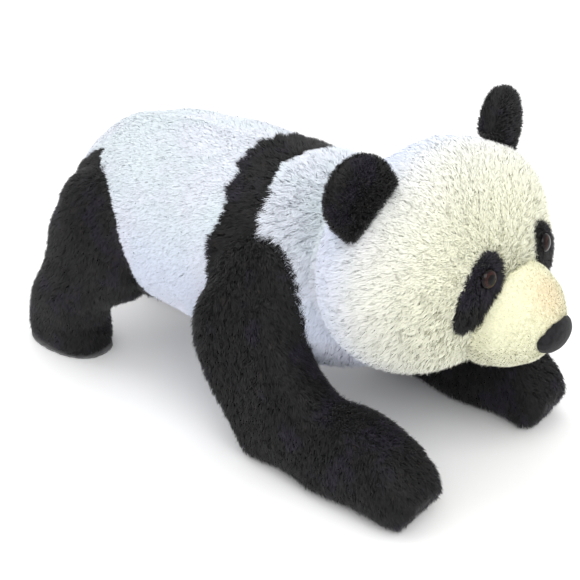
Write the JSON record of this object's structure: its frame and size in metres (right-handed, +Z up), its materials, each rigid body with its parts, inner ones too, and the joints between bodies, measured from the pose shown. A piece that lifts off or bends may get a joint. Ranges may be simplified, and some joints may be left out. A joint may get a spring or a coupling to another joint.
{
  "type": "plush panda",
  "caption": "Large plush panda that crouches on its forearms and hind feet, with sewn fur panels over fibre filling, safety eyes, and a flexing neck, legs, ears and tail.",
  "frame": {"origin": "on the floor, under the middle of the panda", "axes": "+Z up, the panda faces -Y, its own left side is +X"},
  "size_m": [0.386, 0.8079, 0.4429],
  "materials": {
    "white_plush": "long-pile plush, bluish white",
    "cream_plush": "long-pile plush, warm cream white",
    "black_plush": "long-pile plush, black",
    "muzzle_plush": "short-pile plush with an airbrushed tan tint",
    "grey_suede": "brushed suede cloth",
    "nose_velour": "short black velour",
    "eye_plastic": "glossy moulded plastic, brown round a black pupil",
    "washer_plastic": "moulded plastic",
    "fibre_filling": "polyester fibre filling"
  },
  "bodies": {
    "torso": {"body_filling": "fibre_filling", "back_cover_left": "white_plush", "back_cover_right": "white_plush", "shoulder_band_left": "black_plush", "shoulder_band_right": "black_plush", "rump_cover_left": "black_plush", "rump_cover_right": "black_plush", "belly_cover": "white_plush", "seat_cover": "black_plush", "collar_cover": "white_plush"},
    "neck": {"neck_filling": "fibre_filling", "neck_cover_left": "white_plush", "neck_cover_right": "white_plush"},
    "head": {"head_filling": "fibre_filling", "crown_cover": "cream_plush", "chin_cover": "cream_plush", "cheek_cover_left": "cream_plush", "cheek_cover_right": "cream_plush", "muzzle_filling": "fibre_filling", "muzzle_cover": "muzzle_plush", "nose": "nose_velour", "eye_left": "eye_plastic", "eye_washer_left": "washer_plastic", "eye_patch_left": "black_plush", "eye_right": "eye_plastic", "eye_washer_right": "washer_plastic", "eye_patch_right": "black_plush"},
    "ear_left": {"ear_front_left": "black_plush", "ear_back_left": "black_plush"},
    "foreleg_left": {"foreleg_filling_left": "fibre_filling", "foreleg_outer_cover_left": "black_plush", "foreleg_inner_cover_left": "black_plush", "foreleg_base_left": "black_plush"},
    "hindleg_left": {"hindleg_filling_left": "fibre_filling", "hindleg_outer_cover_left": "black_plush", "hindleg_inner_cover_left": "black_plush", "hindfoot_sole_left": "grey_suede"},
    "ear_right": {"ear_front_right": "black_plush", "ear_back_right": "black_plush"},
    "foreleg_right": {"foreleg_filling_right": "fibre_filling", "foreleg_outer_cover_right": "black_plush", "foreleg_inner_cover_right": "black_plush", "foreleg_base_right": "black_plush"},
    "hindleg_right": {"hindleg_filling_right": "fibre_filling", "hindleg_outer_cover_right": "black_plush", "hindleg_inner_cover_right": "black_plush", "hindfoot_sole_right": "grey_suede"},
    "tail": {"tail_filling": "fibre_filling", "tail_cover": "white_plush"}
  },
  "joints": [
    {"name": "neck_turn", "type": "hinge", "parent": "torso", "child": "neck", "pos_m": [0, -0.15, 0.235], "axis": [0, 0, 1], "range_deg": [-10, 10], "stiffness_Nm_per_rad": 6},
    {"name": "head_nod", "type": "hinge", "parent": "neck", "child": "head", "pos_m": [0, -0.15, 0.235], "axis": [1, 0, 0], "range_deg": [-8, 8], "stiffness_Nm_per_rad": 12},
    {"name": "shoulder_left", "type": "hinge", "parent": "torso", "child": "foreleg_left", "pos_m": [0.113, -0.055, 0.17], "axis": [-1, 0, 0], "range_deg": [-12, 5], "stiffness_Nm_per_rad": 14},
    {"name": "hip_left", "type": "hinge", "parent": "torso", "child": "hindleg_left", "pos_m": [0.092, 0.246, 0.172], "axis": [-1, 0, 0], "range_deg": [-10, 7], "stiffness_Nm_per_rad": 14},
    {"name": "ear_fold_left", "type": "hinge", "parent": "head", "child": "ear_left", "pos_m": [0.13361, -0.2156, 0.38403], "axis": [0.7799, 0.1096, -0.6163], "range_deg": [-18, 18], "stiffness_Nm_per_rad": 0.25},
    {"name": "shoulder_right", "type": "hinge", "parent": "torso", "child": "foreleg_right", "pos_m": [-0.113, -0.055, 0.17], "axis": [-1, 0, 0], "range_deg": [-12, 5], "stiffness_Nm_per_rad": 14},
    {"name": "hip_right", "type": "hinge", "parent": "torso", "child": "hindleg_right", "pos_m": [-0.092, 0.246, 0.172], "axis": [-1, 0, 0], "range_deg": [-10, 7], "stiffness_Nm_per_rad": 14},
    {"name": "ear_fold_right", "type": "hinge", "parent": "head", "child": "ear_right", "pos_m": [-0.13361, -0.2156, 0.38403], "axis": [0.7799, -0.1096, 0.6163], "range_deg": [-18, 18], "stiffness_Nm_per_rad": 0.25},
    {"name": "tail_wag", "type": "hinge", "parent": "torso", "child": "tail", "pos_m": [0, 0.34955, 0.25723], "axis": [1, 0, 0], "range_deg": [-15, 15], "stiffness_Nm_per_rad": 0.08}
  ]
}
